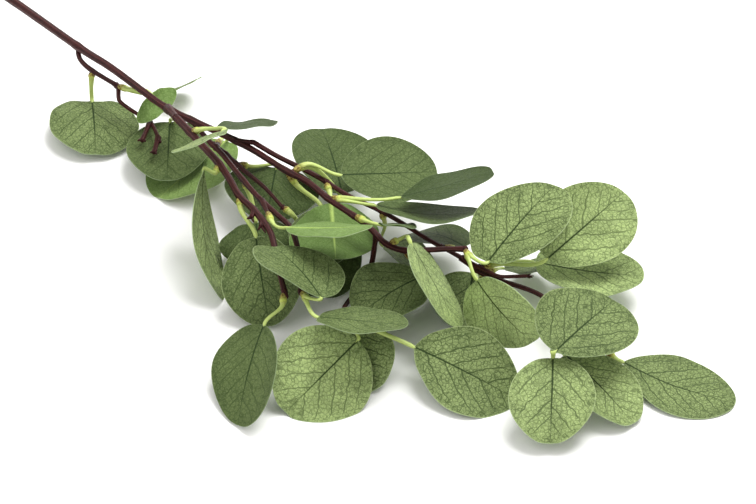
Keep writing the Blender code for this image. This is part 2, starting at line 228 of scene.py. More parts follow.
# Colours of a leaf's two faces. The rib is as wide as rib_width in mm at its base; strength is that of the
# veins, and lift is that of the flecks.
Look = namedtuple("Look", "dark pale lines rib light strength lift rib_width")
UPPER_LOOK = Look(dark=(0.058, 0.088, 0.024), pale=(0.375, 0.485, 0.182), lines=(0.014, 0.032, 0.005),
                  rib=(0.014, 0.032, 0.005), light=(0.450, 0.540, 0.265),
                  strength=0.95, lift=0.45, rib_width=0.95)
UNDER_LOOK = Look(dark=(0.095, 0.162, 0.042), pale=(0.205, 0.310, 0.090), lines=(0.070, 0.130, 0.020),
                  rib=(0.350, 0.480, 0.125), light=(0.330, 0.440, 0.180),
                  strength=0.7, lift=0.3, rib_width=2.0)
NET_CELLS = 0.39
FINE_CELLS = 0.75

# Colours of the rims, stalks, bark and collars
RIM_GREEN = (0.200, 0.290, 0.110)
RIM_PALE = (0.420, 0.520, 0.300)
RIM_DARK = (0.060, 0.100, 0.035)
LIME = (0.350, 0.455, 0.085)
LIME_PALE = (0.560, 0.670, 0.225)
LIME_ROOT = (0.360, 0.300, 0.060)
LIME_END = (0.180, 0.280, 0.060)
BARK_DARK = (0.012, 0.003, 0.003)
BARK_BROWN = (0.052, 0.012, 0.011)
BARK_RED = (0.055, 0.008, 0.007)
# A painted highlight for the crests of the bark's ribs
RIB_HIGHLIGHT = (0.170, 0.062, 0.056)
OCHRE_DARK = (0.110, 0.058, 0.013)
OCHRE = (0.430, 0.370, 0.095)
COLLAR_LIME = (0.520, 0.600, 0.130)

# The stage. A lamp is its name, its place from the view's centre (right, away, up), its width and its power.
FLOOR_REACH = 6.0
FLOOR_COLOUR = (0.95, 0.947, 0.94, 1)
FLOOR_ROUGHNESS = 0.8
SKY_COLOUR = (1.0, 0.99, 0.975, 1)
SKY_STRENGTH = 0.78
LAMPS = (("key", (0.5, 0.6, 1.75), 1.15, 44.0), ("fill", (-0.9, -0.8, 1.6), 1.4, 5.0))

Stem = namedtuple("Stem", "name parent root start_radius end_radius points")
Joint = namedtuple("Joint", "stem root end leaves")
Leaf = namedtuple("Leaf", "name base tip width roll bend cup neck skew shade")


def leaf(name, base, tip, width=LEAF_WIDTH, roll=0, bend=LEAF_BEND, cup=LEAF_CUP, neck=LEAF_NECK, skew=0,
         shade=0.5):
    """A leaf: base and tip are (x, y, height); width, bend and cup are in mm, roll in degrees."""
    return Leaf(name, base, tip, width * MM, math.radians(roll), bend * MM, cup * MM, neck, skew, shade)


# The stems: where each leaves its parent in the picture, and the points (x, y, height) it runs through
STEMS = (
    Stem("main_stem", None, None, MAIN_RADIUS, SIDE_RADIUS, (
        (-118, -84, 2.4), (-98, -71, 2.5), (-48, -38.5, 11), (10, -1, 21), (48, 25.5, 27), (83, 50, 31),
        (110, 67, 34), (140, 89, 36), (158, 102.5, 37), (174, 112, 38), (200, 124, 39), (222, 134, 40),
        (253, 150, 42), (285, 170, 45), (309, 183, 47), (330, 200, 48), (357, 218, 47), (371, 229, 45),
        (385, 243, 42), (402, 250, 40), (425, 250, 40), (446, 249, 40), (466, 249, 41))),
    Stem("side_stem_a", "main_stem", (77, 46), SIDE_RADIUS, TIP_RADIUS, (
        (78.5, 54, 26.5), (80, 59, 26), (84, 64, 25.5), (92, 70.5, 25), (106, 79, 25), (117, 86, 25),
        (118.5, 92, 24), (119, 100, 22), (126, 106.5, 20), (139, 115, 18), (150, 122, 18), (155, 130, 19),
        (160, 142, 20))),
    Stem("side_stem_b", "main_stem", (168, 109), FORK_RADIUS, SIDE_RADIUS, (
        (177, 118.5, 45), (190, 132, 47), (203, 146, 48), (219, 163.6, 49), (230, 180, 49), (239, 195.5, 49),
        (254, 210, 48), (268, 228, 46), (273, 240, 44), (277, 258, 41), (281, 278, 38), (286, 297, 36))),
    Stem("side_stem_c", "main_stem", (236, 141.5), SIDE_RADIUS, TIP_RADIUS, (
        (254, 142.5, 45), (277, 156, 42), (303, 169, 38), (325, 181, 37), (348, 195.5, 37), (381, 211, 37),
        (402, 223, 36), (427, 238.7, 34), (451, 252, 33), (475, 265, 33), (491, 273, 34), (500, 276.5, 34),
        (514, 276.5, 34), (526, 276, 34))),
    Stem("side_stem_d", "main_stem", (191, 120), SIDE_RADIUS, SIDE_RADIUS, (
        (200, 130.5, 32), (209, 141, 33), (222, 154, 36), (239, 175, 38), (258, 197, 39), (277, 214.5, 39),
        (290, 227, 39), (297, 245, 39), (300, 268, 38), (301, 283, 38), (301, 293, 38))),
    Stem("side_stem_e", "side_stem_d", (212, 144), SIDE_RADIUS, TIP_RADIUS, (
        (227, 154.5, 29), (233, 161, 29), (246, 172, 29), (265, 188, 29), (284, 209, 29))),
    Stem("side_stem_f", "side_stem_c", (461, 257), SIDE_RADIUS, TIP_RADIUS, (
        (476, 270, 28), (490, 276, 27), (505, 282, 25), (524, 288, 23), (541, 295.5, 21), (556, 308, 19),
        (574, 325, 15), (594, 342, 11), (608, 354, 9))),
    Stem("side_stem_g", "main_stem", (376, 234), SIDE_RADIUS, TIP_RADIUS, (
        (374, 250, 33), (372, 262, 22), (367, 276, 11), (358, 290, 5), (347, 303, 6), (343, 311, 15),
        (346, 317, 24), (353, 320, 28), (362, 321, 28.5))),
)

# The twigs: where each leaves its stem in the picture, where it ends, and the leaves it carries
JOINTS = (
    Joint("side_stem_a", (91.5, 70), (91.5, 78, 21), (
        leaf("leaf_a1", (92, 102, 6), (96, 157, 5), 56, roll=-13, cup=0.5, neck=0.25, shade=0.4),)),
    Joint("side_stem_a", (116, 85.5), (127, 89, 28), (
        leaf("leaf_a2", (151, 94, 32), (166, 112, 24), 34, roll=154, cup=2, skew=-0.06, shade=0.9),
        leaf("leaf_a3", (168, 93, 15), (197, 79, 11), 30, roll=-84, bend=0, cup=0, shade=0.4))),
    Joint("side_stem_a", (150, 122), (142, 141, 20), ()),
    Joint("side_stem_a", (158, 138), (154, 153, 20), ()),
    Joint("main_stem", (172, 111), (176, 119, 29), (
        leaf("leaf_m1", (170, 122, 11), (167, 183, 11), 52, bend=2, cup=2, shade=0.15),)),
    Joint("side_stem_b", (190, 132), (199, 130, 51), (
        leaf("leaf_b1", (222, 131, 66), (177, 152, 72), 36, roll=81, bend=0, cup=0, shade=0.9),
        leaf("leaf_b2", (221, 128, 55), (275, 120, 45), 34, roll=-77, bend=0, cup=0, shade=0.2))),
    Joint("side_stem_b", (219, 163.6), (216, 172, 47), (
        leaf("leaf_b3", (204, 169, 48.5), (223, 302, 1), 48, roll=-75, bend=-6, cup=1, neck=1.1,
             shade=0.6),)),
    Joint("side_stem_b", (239, 195.5), (240, 205, 46), (
        leaf("leaf_b5", (256, 237, 36), (270, 328, 2), 48, roll=6, cup=3, shade=0.2),)),
    Joint("side_stem_b", (284, 291), (283, 303, 35), (
        leaf("leaf_b7", (264, 325, 30), (238, 428, 1), roll=41, skew=-0.33, shade=0.4),)),
    Joint("side_stem_b", (254, 210), (251, 218, 47), ()),
    Joint("side_stem_b", (262, 219), (261, 227, 46), ()),
    Joint("main_stem", (290, 173), (303, 166.5, 47), (
        leaf("leaf_m2", (341, 175, 40), (439, 172, 36), 54, roll=-42, bend=0, shade=0.3),
        leaf("leaf_m3", (342, 194, 21), (321, 128, 24), 54, roll=26, skew=0.12, shade=0.25))),
    Joint("main_stem", (285, 170), (295, 183, 38), (
        leaf("leaf_m4", (322, 209, 26), (326, 268, 20), 42, cup=1, shade=0.2),)),
    Joint("main_stem", (328, 198), (341, 199, 50), (
        leaf("leaf_m5", (376, 205, 50), (482, 211, 50), 44, roll=-75, cup=1, bend=-4, shade=0.2),
        leaf("leaf_m6", (400, 197, 54), (496, 170, 64), 46, roll=-70, bend=-1, cup=0.5, neck=0.9,
             shade=0.4))),
    Joint("main_stem", (354, 216), (364, 220, 51), (
        leaf("leaf_m7", (382, 225, 54), (414, 229, 58), 30, roll=-86, cup=1, bend=1, shade=0.1),)),
    Joint("main_stem", (388, 245), (398, 240, 44), (
        leaf("leaf_m8", (411, 243, 55), (461.5, 329, 18), roll=-71, bend=-0.5, cup=0, shade=0.6),)),
    Joint("main_stem", (404, 250), (412, 258, 34), (
        leaf("leaf_m9", (424, 276, 20), (356, 318, 12), roll=42, shade=0.15),)),
    Joint("main_stem", (464, 249), (469, 256, 43), (
        leaf("leaf_m10", (477, 280, 38), (535, 344, 22), roll=44, skew=-0.38, shade=0.7),
        leaf("leaf_m11", (488, 262, 40), (556, 184, 69), roll=-23, cup=3, skew=0.34, shade=0.75))),
    Joint("side_stem_c", (326, 181.5), (329, 190, 36), (
        leaf("leaf_c1", (331, 203, 34), (336, 261, 34), 54, roll=180, cup=2, shade=0.9),)),
    Joint("side_stem_c", (381, 211), (384, 219, 33), (
        leaf("leaf_c5", (384, 246, 10), (436, 276, 5), 36, roll=-62, cup=2, skew=0.33, shade=0.3),)),
    Joint("side_stem_c", (440, 246), (455, 249, 32), (
        leaf("leaf_c4", (464, 247, 26), (414, 233, 16), 42, roll=68, cup=1, shade=0.1),)),
    Joint("side_stem_c", (480, 267), (493, 264.5, 33), (
        leaf("leaf_c2", (535, 262, 24), (646, 276, 18), 50, roll=-52, cup=2, bend=-2, shade=0.2),
        leaf("leaf_c3", (547, 259, 34), (625, 191, 55), 52, skew=0.2, shade=0.75))),
    Joint("side_stem_d", (243, 180), (247, 188, 35), (
        leaf("leaf_d1", (256, 223, 18), (262, 266, 4), 48, cup=1, shade=0.1),)),
    Joint("side_stem_d", (262, 201), (271, 220, 44), (
        leaf("leaf_d2", (286, 228, 51), (374, 226, 67), 41, roll=102, bend=1, cup=1, skew=-0.36,
             shade=1),)),
    Joint("side_stem_d", (216, 148), (219, 141, 26), (
        leaf("leaf_d5", (226, 141, 8), (158, 200, 1), 60, roll=50, bend=1, cup=1, shade=0.8),)),
    Joint("side_stem_d", (301, 291), (306, 298, 40), (
        leaf("leaf_d3", (321, 298, 44), (271, 246, 50), 52, roll=53, skew=-0.28, shade=0.4),
        leaf("leaf_d4", (318, 317, 36), (409, 326, 40), 46, roll=-72, cup=1, bend=0, shade=0.3))),
    Joint("side_stem_e", (236, 163.5), (248, 166, 27), (
        leaf("leaf_e1", (276, 168, 18), (266, 222, 14), 58, cup=2, shade=0.05),)),
    # leaf_e2 reaches down over a gap of deep shade between the stems, and its near-black shade is partly
    # painted shade
    Joint("side_stem_e", (282, 207), (288, 211, 28), (
        leaf("leaf_e2", (304, 232, 12), (346, 294, 2), 50, cup=2, shade=0.05),)),
    Joint("side_stem_f", (484, 273), (494, 270, 24), (
        leaf("leaf_f1", (504, 268, 16), (552, 265, 12), 28, roll=-73, bend=0, cup=0, skew=-0.29,
             shade=0.3),)),
    Joint("side_stem_f", (488, 275), (481, 279, 21), (
        leaf("leaf_f6", (473, 273, 11), (462, 332, 3), 46, cup=1, shade=0.4),)),
    Joint("side_stem_f", (556, 308), (556, 338, 28), (
        leaf("leaf_f2", (555, 352, 34), (615, 300, 38), 56, roll=-18, skew=0.26, shade=0.4),
        leaf("leaf_f3", (553, 358, 26), (550, 447, 6), roll=1, skew=0.06, shade=0.6))),
    Joint("side_stem_f", (574, 325), (570, 340, 16), (
        leaf("leaf_f4", (565, 355, 15), (635, 427, 2), 42, roll=-38, shade=0.7),)),
    Joint("side_stem_f", (606, 352), (614, 357.5, 8), (
        leaf("leaf_f5", (623, 362, 7), (737, 404, 1), roll=-48, bend=-4, cup=1, neck=0.8, skew=0.14,
             shade=0.4),)),
    Joint("side_stem_g", (347, 318), (351, 328, 25), (
        leaf("leaf_g1", (358, 340, 22), (283, 415, 1), 60, shade=0.6),
        leaf("leaf_g2", (339, 334, 11), (375, 394, 1), cup=2, shade=0.5))),
    Joint("side_stem_g", (360, 319), (373, 328, 26), (
        leaf("leaf_g3", (414, 347, 20), (519, 401, 1), 52, roll=-18, neck=0.7, skew=0.11, shade=0.5),)),
)




def view_axes():
    """The picture's right, up and forward directions."""
    right = Vector((math.cos(VIEW_TURN), math.sin(VIEW_TURN), 0))
    away = Vector((-math.sin(VIEW_TURN), math.cos(VIEW_TURN), 0))
    rise, run = math.sin(VIEW_ELEVATION), math.cos(VIEW_ELEVATION)
    return right, away * rise + Vector((0, 0, run)), away * run - Vector((0, 0, rise))


def place(x, y, height):
    """The point seen at pixel x, y that is height mm above the table."""
    right, up, forward = view_axes()
    eye = VIEW_CENTRE - forward * VIEW_DISTANCE
    ray = forward * FOCAL_PIXELS + right * (x - PICTURE_SIZE[0] / 2) - up * (y - PICTURE_SIZE[1] / 2)
    return eye + ray * ((height * MM - eye.z) / ray.z)


def pixel(point):
    """Where a point is seen in the picture."""
    right, up, forward = view_axes()
    offset = point - (VIEW_CENTRE - forward * VIEW_DISTANCE)
    scale = FOCAL_PIXELS / offset.dot(forward)
    x = PICTURE_SIZE[0] / 2 + offset.dot(right) * scale
    y = PICTURE_SIZE[1] / 2 - offset.dot(up) * scale
    return Vector((x, y))


def smooth_path(points, step):
    """Points about a step apart on the smooth curve through the given points."""
    ends = [points[0] * 2 - points[1], *points, points[-1] * 2 - points[-2]]
    path = [points[0]]
    for before, start, end, after in zip(ends, ends[1:], ends[2:], ends[3:]):
        steps = max(1, round((end - start).length / step))
        for i in range(1, steps + 1):
            t = i / steps
            path.append(0.5 * (2 * start + (end - before) * t
                               + (2 * before - 5 * start + 4 * end - after) * t ** 2
                               + (3 * start - before - 3 * end + after) * t ** 3))
    return path


def hermite(start, start_slope, end, end_slope, t):
    """A point of the curve that leaves start and reaches end with the given slopes."""
    return (start * (2 * t ** 3 - 3 * t ** 2 + 1) + start_slope * (t ** 3 - 2 * t ** 2 + t)
            + end * (3 * t ** 2 - 2 * t ** 3) + end_slope * (t ** 3 - t ** 2))


def directions(path):
    """The unit direction of a path at each of its points."""
    ends = [path[0], *path, path[-1]]
    return [(after - before).normalized() for before, after in zip(ends, ends[2:])]


def blend(start, end, value):
    """A smooth rise from 0 at start to 1 at end, which may be the smaller of the two."""
    t = np.clip((value - start) / (end - start), 0, 1)
    return t * t * (3 - 2 * t)


def link(obj):
    """Puts an object into the scene."""
    bpy.context.scene.collection.objects.link(obj)


class Shape:
    """Points, faces and the fields that the materials read, gathered for one piece."""

    def __init__(self):
        self.points, self.faces, self.kinds = [], [], []
        self.spot, self.mark, self.tone = [], [], []

    def add(self, points, faces, kinds, spot, mark, tone):
        """Adds points with their three fields, and faces with a kind for each."""
        first = len(self.points)
        self.points += [tuple(p) for p in points]
        self.faces += [tuple(first + i for i in face) for face in faces]
        self.kinds += kinds
        self.spot += [tuple(v) for v in spot]
        self.mark += [tuple(v) for v in mark]
        self.tone += [tuple(v) for v in tone]

    def make(self, node, materials):
        """The piece that replaces a node, with smooth faces and a sharp line where its materials meet."""
        name = "eucalyptus_" + node
        low, high = np.array(cad_low), np.array(cad_high)
        data = bpy.data.meshes.new(name)
        data.from_pydata(np.clip(np.array(self.points), low, high).tolist(), [], self.faces)
        for material in materials:
            data.materials.append(material)
        data.polygons.foreach_set("material_index", self.kinds)
        data.polygons.foreach_set("use_smooth", [True] * len(self.faces))
        for field in ("spot", "mark", "tone"):
            values = np.array(getattr(self, field), np.float32)
            data.attributes.new(field, "FLOAT_VECTOR", "POINT").data.foreach_set("vector", values.ravel())
        mesh = bmesh.new()
        mesh.from_mesh(data)
        bmesh.ops.recalc_face_normals(mesh, faces=mesh.faces)
        for edge in mesh.edges:
            edge.smooth = len({face.material_index for face in edge.link_faces}) < 2
        mesh.to_mesh(data)
        mesh.free()
        obj = bpy.data.objects.new(name, data)
        link(obj)
        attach(obj, "root")
        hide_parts(node)


def add_tube(shape, kind, path, radii, sides, tone, rng, side=None, flat=1.0, ribs=0, rib_height=0.0):
    """Adds a round or flattened tube along a path, kept above the table and closed at both ends."""
    seed = rng.uniform(*TUBE_SEEDS)
    aims = directions(path)
    side = side or aims[0].cross(Vector((0, 0, 1)))
    points, spot, tones = [], [], []
    run = 0.0
    for i, (point, aim, radius) in enumerate(zip(path, aims, radii)):
        side = (side - aim * side.dot(aim)).normalized()
        top = side.cross(aim)
        run += (point - path[i - 1]).length / MM if i else 0.0
        spread = radius / MM * GRAIN_SPREAD
        for j in range(sides):
            angle = 2 * math.pi * j / sides
            rib = 1 + rib_height * math.cos(ribs * angle + RIB_TWIST * run + seed)
            at = point + (side * math.cos(angle) + top * math.sin(angle) * flat) * radius * rib
            points.append((at.x, at.y, max(at.z, 0.0)))
            spot.append((run, math.cos(angle) * spread, math.sin(angle) * spread + seed * SEED_STEP))
            tones.append((tone[i], run, rib))
    faces = []
    for i in range(len(path) - 1):
        for j in range(sides):
            k = (j + 1) % sides
            faces.append((i * sides + j, i * sides + k, (i + 1) * sides + k, (i + 1) * sides + j))
    faces.append(tuple(range(sides)))
    faces.append(tuple((len(path) - 1) * sides + j for j in range(sides)))
    shape.add(points, faces, [kind] * len(faces), spot, [NO_MARK] * len(points), tones)


def add_bark(shape, path, radii, sides, rng, ribs=0, rib_height=0.0):
    """Adds a tube of plain bark."""
    add_tube(shape, BARK, path, radii, sides, [0.0] * len(path), rng, ribs=ribs, rib_height=rib_height)


def stem_path(stem, step=STEM_STEP):
    """The centre line of a stem."""
    return smooth_path([place(*point) for point in stem.points], step)


def point_on(stem, root):
    """The point of a stem's centre line that is seen nearest to a pixel."""
    return min(stem_path(stem, MM), key=lambda point: (pixel(point) - Vector(root)).length)


def leaf_roots(joint, stems):
    """Where each leaf's stalk starts at a joint, and the direction in which it leaves."""
    start = point_on(stems[joint.stem], joint.root)
    end = place(*joint.end)
    along = (end - start).normalized()
    seat = end + along * SEAT_GAP
    if len(joint.leaves) == 1:
        return [seat], along
    apart = place(*joint.leaves[0].base) - place(*joint.leaves[1].base)
    side = (apart - along * apart.dot(along)).normalized()
    return [seat + side * PAIR_OFFSET, seat - side * PAIR_OFFSET], along


def blade_axes(item):
    """A blade's length direction, its width direction and its upper side's direction."""
    forward = view_axes()[2]
    along = (place(*item.tip) - place(*item.base)).normalized()
    side = (-along.cross(forward)).normalized()
    top = side.cross(along)
    width = side * math.cos(item.roll) - top * math.sin(item.roll)
    return along, width, width.cross(along)


def blade_plane(item, length, rng):
    """A blade's grid: its shares along and across, its share of the full width, and its places in metres."""
    half = item.width / 2
    t = (0.5 - 0.5 * np.cos(np.pi * np.arange(STATIONS + 1) / STATIONS))[:, None]
    s = np.array([-x for x in reversed(HALF_SPANS)] + [0.0] + list(HALF_SPANS))[None, :]
    outline = np.maximum(np.sin(np.pi * t) ** np.where(t < 0.5, item.neck, TIP_POWER), LEAST_OUTLINE)
    y = s * outline * half
    x = (BASE_REACH + (TIP_REACH - BASE_REACH) * t) * length + item.skew * y
    notch, lobes = rng.uniform(*NOTCH_RANGE) * MM, rng.uniform(*LOBE_RANGE) * MM
    x = x - notch * np.exp(-(y / NOTCH_WIDTH) ** 2) * blend(*NOTCH_SPAN, t)
    x = x - lobes * np.exp(-((np.abs(y) / half - LOBE_PLACE) / LOBE_WIDTH) ** 2) * blend(*LOBE_SPAN, t)
    return t, s, outline, x, y


def blade_rise(item, t, s, outline, share, rng):
    """How far a blade rises off its own plane: its arch, cup, waves and fold."""
    wave = 0.0
    for side in (-1, 1):
        size, beats = rng.uniform(*WAVE_RANGE) * MM, rng.uniform(*BEAT_RANGE)
        phase = rng.uniform(0, 2 * math.pi)
        wave = wave + size * np.sin(2 * math.pi * beats * t + phase) * np.clip(side * s, 0, 1) ** 2
    fold = rng.uniform(*FOLD_RANGE) * MM * outline * (np.abs(s) - s ** 2)
    arch = item.bend * 4 * share * (1 - share)
    return arch + item.cup * outline * np.abs(s) ** CUP_POWER + wave * outline - fold


def blade_sides(middle, top, t, s, y):
    """The upper and the lower points of a blade round its middle sheet, and the sheet's upward direction."""
    normal = np.cross(np.gradient(middle, axis=1), np.gradient(middle, axis=0))
    normal /= np.maximum(np.linalg.norm(normal, axis=2, keepdims=True), 1e-12)
    normal *= np.sign((normal @ top).mean())
    thick = (MIDDLE_THICKNESS + (EDGE_THICKNESS - MIDDLE_THICKNESS) * np.abs(s) ** 2 + 0 * t) / 2
    fade = (1 - RIDGE_FADE * t) * blend(*RIDGE_END, t)
    groove = GROOVE_DEPTH * fade * np.exp(-(y / (RIDGE_WIDTH / 2)) ** 2)
    ridge = RIDGE_HEIGHT * fade * np.exp(-(y / RIDGE_WIDTH) ** 2)
    upper = middle + normal * (thick - groove)[..., None]
    lower = middle - normal * (thick + ridge)[..., None]
    lower[..., 2] = np.maximum(lower[..., 2], 0.0)
    upper[..., 2] = np.maximum(upper[..., 2], 0.0)
    if top[2] > LYING:
        upper[..., 2] = np.maximum(upper[..., 2], lower[..., 2] + LEAST_THICKNESS)
    elif top[2] < -LYING:
        lower[..., 2] = np.maximum(lower[..., 2], upper[..., 2] + LEAST_THICKNESS)
    return upper, lower, normal


def vein_phase(x, y, length, half, rng):
    """Counts the side veins from the base: a whole number is on a vein. The two halves' veins alternate."""
    across = np.abs(y)
    lean = (x - VEIN_LEAN * across - VEIN_CURVE * across ** 2 / half) / (1 + VEIN_FAN * across / length)
    starts = [FIRST_VEIN * VEIN_SPACING]
    while starts[-1] < LAST_VEIN * length / MM:
        starts.append(starts[-1] + VEIN_SPACING * rng.uniform(*VEIN_CHANCE))
    starts, numbers = np.array(starts), np.arange(len(starts))
    left = np.interp(lean / MM, starts, numbers)
    right = np.interp(lean / MM, starts + VEIN_SHIFT * VEIN_SPACING, numbers)
    return np.where(y > 0, left, right)


def add_blade(shape, item, rng):
    """Adds a leaf's thin blade: two faces over one grid of points, with a rim between them."""
    along, width, top = (np.array(v) for v in blade_axes(item))
    base, tip = np.array(place(*item.base)), np.array(place(*item.tip))
    length = np.linalg.norm(tip - base)
    t, s, outline, x, y = blade_plane(item, length, rng)
    share = x / length
    rise = blade_rise(item, t, s, outline, share, rng)
    middle = base + along * x[..., None] + width * y[..., None] + top * rise[..., None]
    middle[..., 2] = np.maximum(middle[..., 2], EDGE_THICKNESS / 2)
    upper, lower, normal = blade_sides(middle, top, t, s, y)
    rows, columns = x.shape
    rim = ([(0, j) for j in range(columns)] + [(i, columns - 1) for i in range(1, rows)]
           + [(rows - 1, j) for j in range(columns - 2, -1, -1)] + [(i, 0) for i in range(rows - 2, 0, -1)])
    border = np.array([(x[i, j], y[i, j]) for i, j in rim])
    flat = np.stack([x, y], 2).reshape(-1, 1, 2)
    edge = np.sqrt(((flat - border[None]) ** 2).sum(2)).min(1).reshape(x.shape)
    phase = vein_phase(x, y, length, item.width / 2, rng)
    seed = rng.uniform(*SPOT_SEEDS)
    # What the materials read: the place in mm; the side vein, how far edge and midrib are; tone and share
    spot = np.stack([x / MM, y / MM, 0 * x + seed], 2).reshape(-1, 3)
    mark = np.stack([phase, edge / MM, np.abs(y) / MM], 2).reshape(-1, 3)
    # The tone carries painted light and shade as well as the leaf's own paleness
    tone = np.stack([0 * x + TONES_WITH_PAINTED_LIGHT.get(item.name, item.shade), share, 0 * x], 2).reshape(-1, 3)
    count = rows * columns
    grid = [(i * columns + j, i * columns + j + 1, (i + 1) * columns + j + 1, (i + 1) * columns + j)
            for i in range(rows - 1) for j in range(columns - 1)]
    under = [tuple(count + i for i in reversed(face)) for face in grid]
    loop = [i * columns + j for i, j in rim]
    strip = [(a, b, b + count, a + count) for a, b in zip(loop, loop[1:] + loop[:1])]
    faces = (UNDER, UPPER) if item.name in TURNED else (UPPER, UNDER)
    kinds = [faces[0]] * len(grid) + [faces[1]] * len(under) + [RIM] * len(strip)
    points = np.concatenate([upper.reshape(-1, 3), lower.reshape(-1, 3)])
    shape.add(points, grid + under + strip, kinds, *(np.concatenate([v, v]) for v in (spot, mark, tone)))
    return middle, normal


def make_leaf(item, root, root_direction, materials):
    """A leaf: a lime stalk out of its collar that runs on under the blade as the midrib."""
    rng = random.Random(item.name)
    shape = Shape()
    middle, normal = add_blade(shape, item, rng)
    along, width = blade_axes(item)[:2]
    base = place(*item.base)
    reach = (base - root).length
    path = [hermite(root, root_direction * reach, base, along * reach, i / STALK_STEPS)
            for i in range(STALK_STEPS)]
    path.insert(0, root - root_direction * STALK_SINK)
    radii = [(1 + STALK_ROOT - STALK_ROOT * min(1, i / STALK_ROOT_STEPS)) * STALK_RADIUS * STALK_WIDENING
             for i in range(len(path))]
    column = len(HALF_SPANS)
    start, end = UNDER_BLADE
    rows = [i for i in range(STATIONS) if start < 0.5 - 0.5 * math.cos(math.pi * i / STATIONS) < end]
    for number, i in enumerate(rows, 1):
        path.append(Vector(middle[i, column]) - Vector(normal[i, column]) * UNDER_BLADE_DEPTH)
        radii.append(STALK_RADIUS * (MIDRIB_SIZE - MIDRIB_FALL * number / len(rows)))
    shares = [i / (len(path) - 1) for i in range(len(path))]
    add_tube(shape, STALK, path, radii, STALK_SIDES, shares, rng, side=width, flat=STALK_FLATNESS)
    shape.make(item.name, materials)


def add_nub(shape, root, end, along, rng):
    """Adds a short twig out of a stem: it flares at its root and ends in an ochre collar."""
    length = (end - root).length
    neck = end - along * min(COLLAR_LENGTH, COLLAR_SHARE * length)
    path, radii, tone = [root], [NUB_RADIUS * NUB_ROOT], [0.0]
    parts = ((root, neck, NUB_RADIUS, NUB_RINGS), (neck, end, COLLAR_RADIUS, COLLAR_RINGS))
    for start, stop, full, rings in parts:
        for share, size, mark in rings:
            path.append(start.lerp(stop, share))
            radii.append(full * size)
            tone.append(mark)
    add_tube(shape, BARK, path, radii, NUB_SIDES, tone, rng, ribs=NUB_RIBS, rib_height=LOW_RIB_HEIGHT)


def add_spike(shape, start, aim, length, radius, rng):
    """Adds a small tapering prong of bark."""
    drift = Vector([rng.uniform(-1, 1) for _ in range(3)]) * SPIKE_DRIFT * length
    path = [start + aim * length * share + drift * sway for share, sway, size in SPIKE_RINGS]
    radii = [radius * size for share, sway, size in SPIKE_RINGS]
    add_bark(shape, path, radii, SPIKE_SIDES, rng)


def add_bare_nub(shape, root, end, along, rng):
    """Adds a twig that has lost its leaves: it ends in two short prongs."""
    path = [root.lerp(end, share) for share, size in BARE_NUB_RINGS]
    radii = [NUB_RADIUS * size for share, size in BARE_NUB_RINGS]
    add_bark(shape, path, radii, NUB_SIDES, rng, NUB_RIBS, RIB_HEIGHT)
    side = along.cross(view_axes()[2]).normalized()
    for lean in (-1, 1):
        aim = (along + side * PRONG_LEAN * lean).normalized()
        add_spike(shape, path[-2], aim, PRONG_LENGTH * rng.uniform(*PRONG_CHANCE), PRONG_RADIUS, rng)


def add_bud(shape, end, aim, rng):
    """Adds the bristly bud at the end of a stem."""
    right, up = view_axes()[:2]
    for i in range(BUD_SPIKES):
        back = aim * -BUD_STEP * (i % BUD_ROWS)
        turn = math.pi * 2 * i / BUD_SPIKES
        lean = (aim + right * SPIKE_LEAN * math.cos(turn) + up * SPIKE_LEAN * math.sin(turn)).normalized()
        add_spike(shape, end + back, lean, SPIKE_LENGTH * rng.uniform(*SPIKE_CHANCE), SPIKE_RADIUS, rng)


def add_branch_root(shape, root, end, child, rng):
    """Adds the short start of a side stem, which flares where it leaves its parent."""
    path = [root.lerp(end, share) for share, size in BRANCH_ROOT_RINGS]
    radii = [child.start_radius * size for share, size in BRANCH_ROOT_RINGS]
    add_bark(shape, path, radii, STEM_SIDES, rng, STEM_RIBS, RIB_HEIGHT)


def make_stem(stem, material):
    """A stem with its nubs and the roots of its side stems."""
    rng = random.Random(stem.name)
    shape = Shape()
    path = stem_path(stem)
    joints = [joint for joint in JOINTS if joint.stem == stem.name]
    children = [child for child in STEMS if child.parent == stem.name]
    knots = [point_on(stem, item.root) for item in joints + children]
    radii = []
    for i, point in enumerate(path):
        radius = stem.start_radius + (stem.end_radius - stem.start_radius) * i / (len(path) - 1)
        near = min([(point - knot).length for knot in knots] + [1.0])
        swell = 1 + KNOT_SWELL * math.exp(-(near / KNOT_REACH) ** 2) + rng.uniform(-BARK_CHANCE, BARK_CHANCE)
        radii.append(radius * BARK_SWELL * swell)
    if stem.parent:
        path.insert(0, path[0] - directions(path)[0] * STEM_SINK)
        radii.insert(0, radii[0] * SUNK_SIZE)
    aim = directions(path)[-1]
    for size in END_SIZES:
        path.append(path[-1] + aim * radii[-1] * END_STEP)
        radii.append(radii[-1] * size)
    add_bark(shape, path, radii, STEM_SIDES, rng, STEM_RIBS, RIB_HEIGHT)
    for joint in joints:
        root, end = point_on(stem, joint.root), place(*joint.end)
        add = add_nub if joint.leaves else add_bare_nub
        add(shape, root, end, (end - root).normalized(), rng)
    for child in children:
        child_path = stem_path(child)
        end = child_path[0] - directions(child_path)[0] * SEAT_GAP
        add_branch_root(shape, point_on(stem, child.root), end, child, rng)
    if stem.name == "side_stem_c":
        add_bud(shape, path[-1], aim, rng)
    shape.make(stem.name, [material])


